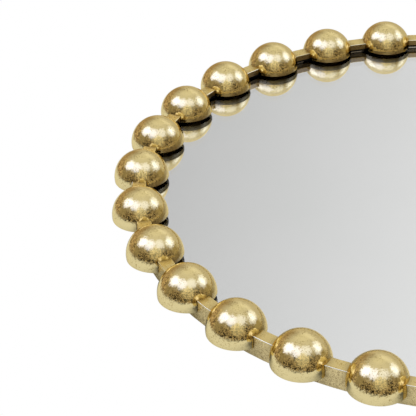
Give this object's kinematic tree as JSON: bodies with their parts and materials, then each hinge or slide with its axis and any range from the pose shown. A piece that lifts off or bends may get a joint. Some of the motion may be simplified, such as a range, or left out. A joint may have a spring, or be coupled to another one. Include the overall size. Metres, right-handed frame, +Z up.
{
  "type": "arched wall mirror",
  "caption": "Arched wall mirror in a gold-leafed metal frame of half-ball beads threaded on a rebated rail, with turn buttons and keyhole hangers behind.",
  "frame": {"origin": "midpoint between the two keyhole entry holes, on the wall plane", "axes": "+Z up as the mirror hangs, +Y into the wall, so the glass faces -Y; +X to the right seen from the front"},
  "size_m": [0.5084, 0.0345, 0.7508],
  "materials": {
    "gold_leaf": "antique gold leaf over metal, satin, lightly mottled and creased",
    "mirror": "clear float glass silvered on its back",
    "black_foam": "closed-cell foam tape",
    "board": "smooth brown hardboard",
    "plated_steel": "bright zinc plate",
    "pad_rubber": "matt black rubber"
  },
  "bodies": {
    "frame": {"arch_rail": "gold_leaf", "bottom_rail": "gold_leaf", "glass_tape": "black_foam", "mirror_glass": "mirror", "back_board": "board", "bead_01": "gold_leaf", "bead_02": "gold_leaf", "bead_03": "gold_leaf", "bead_04": "gold_leaf", "bead_05": "gold_leaf", "bead_06": "gold_leaf", "bead_07": "gold_leaf", "bead_08": "gold_leaf", "bead_09": "gold_leaf", "bead_10": "gold_leaf", "bead_11": "gold_leaf", "bead_12": "gold_leaf", "bead_13": "gold_leaf", "bead_14": "gold_leaf", "bead_15": "gold_leaf", "bead_16": "gold_leaf", "bead_17": "gold_leaf", "bead_18": "gold_leaf", "bead_19": "gold_leaf", "bead_20": "gold_leaf", "bead_21": "gold_leaf", "bead_22": "gold_leaf", "bead_23": "gold_leaf", "bead_24": "gold_leaf", "bead_25": "gold_leaf", "bead_26": "gold_leaf", "bead_27": "gold_leaf", "bead_28": "gold_leaf", "bead_29": "gold_leaf", "bead_30": "gold_leaf", "bead_31": "gold_leaf", "bead_32": "gold_leaf", "bead_33": "gold_leaf", "bead_34": "gold_leaf", "bead_35": "gold_leaf", "bead_36": "gold_leaf", "bead_37": "gold_leaf", "bead_38": "gold_leaf", "bead_39": "gold_leaf", "bead_40": "gold_leaf", "bead_41": "gold_leaf", "bead_42": "gold_leaf", "button_screws": "plated_steel", "hanger_screws": "plated_steel", "hanger_plate_right": "plated_steel", "hanger_plate_left": "plated_steel", "wall_pads": "pad_rubber"},
    "turn_button_1": {"turn_button_1": "plated_steel"},
    "turn_button_2": {"turn_button_2": "plated_steel"},
    "turn_button_3": {"turn_button_3": "plated_steel"},
    "turn_button_4": {"turn_button_4": "plated_steel"},
    "turn_button_5": {"turn_button_5": "plated_steel"},
    "turn_button_6": {"turn_button_6": "plated_steel"}
  },
  "joints": [
    {"name": "turn_button_1_swivel", "type": "hinge", "parent": "frame", "child": "turn_button_1", "pos_m": [-0.16702, -0.0055, 0.21502], "axis": [0, 1, 0], "range_deg": [-90, 90]},
    {"name": "turn_button_2_swivel", "type": "hinge", "parent": "frame", "child": "turn_button_2", "pos_m": [0.16702, -0.0055, 0.21502], "axis": [0, 1, 0], "range_deg": [-90, 90]},
    {"name": "turn_button_3_swivel", "type": "hinge", "parent": "frame", "child": "turn_button_3", "pos_m": [-0.2362, -0.0055, -0.242], "axis": [0, 1, 0], "range_deg": [-90, 90]},
    {"name": "turn_button_4_swivel", "type": "hinge", "parent": "frame", "child": "turn_button_4", "pos_m": [0.2362, -0.0055, -0.242], "axis": [0, 1, 0], "range_deg": [-90, 90]},
    {"name": "turn_button_5_swivel", "type": "hinge", "parent": "frame", "child": "turn_button_5", "pos_m": [-0.11, -0.0055, -0.432], "axis": [0, 1, 0], "range_deg": [-90, 90]},
    {"name": "turn_button_6_swivel", "type": "hinge", "parent": "frame", "child": "turn_button_6", "pos_m": [0.11, -0.0055, -0.432], "axis": [0, 1, 0], "range_deg": [-90, 90]}
  ]
}
